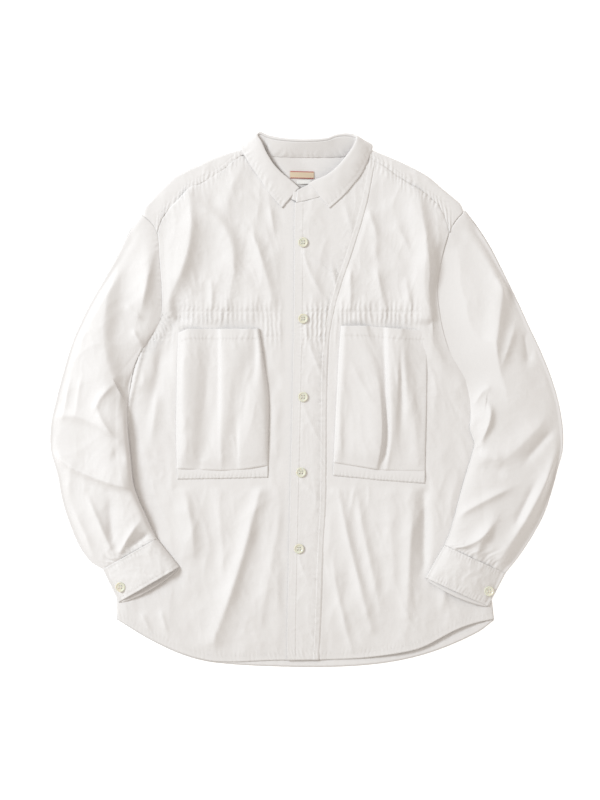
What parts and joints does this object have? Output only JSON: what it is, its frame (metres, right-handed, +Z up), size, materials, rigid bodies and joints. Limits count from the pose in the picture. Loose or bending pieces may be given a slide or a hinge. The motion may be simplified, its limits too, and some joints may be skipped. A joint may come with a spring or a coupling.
{
  "type": "anorak shirt",
  "caption": "White cotton shirt laid flat, with a slanted buttoned front flap, shirred chest band, bellows pockets, point collar and buttoned cuffs",
  "frame": {"origin": "middle of the underside of the laid shirt, on the table", "axes": "+X to the wearer's left sleeve, +Y from the hem to the collar, +Z up from the table"},
  "size_m": [0.768, 0.802, 0.0263],
  "materials": {
    "cotton": "white washed cotton, matt",
    "label": "cream woven tape with red edges",
    "tab": "white woven tape",
    "button": "cream, satin"
  },
  "bodies": {
    "root": {"back": "cotton", "yoke": "cotton", "front_left": "cotton", "front_right": "cotton", "front_flap": "cotton", "sleeve_left": "cotton", "sleeve_left_under": "cotton", "sleeve_right": "cotton", "sleeve_right_under": "cotton", "cuff_left": "cotton", "cuff_right": "cotton", "collar_stand": "cotton", "collar_leaf": "cotton", "pocket_left": "cotton", "pocket_gusset_left": "cotton", "pocket_right": "cotton", "pocket_gusset_right": "cotton", "neck_label": "label", "size_tab": "tab", "button_1": "button", "button_2": "button", "button_3": "button", "button_4": "button", "button_5": "button", "cuff_button_left": "button", "cuff_button_right": "button"}
  },
  "joints": []
}
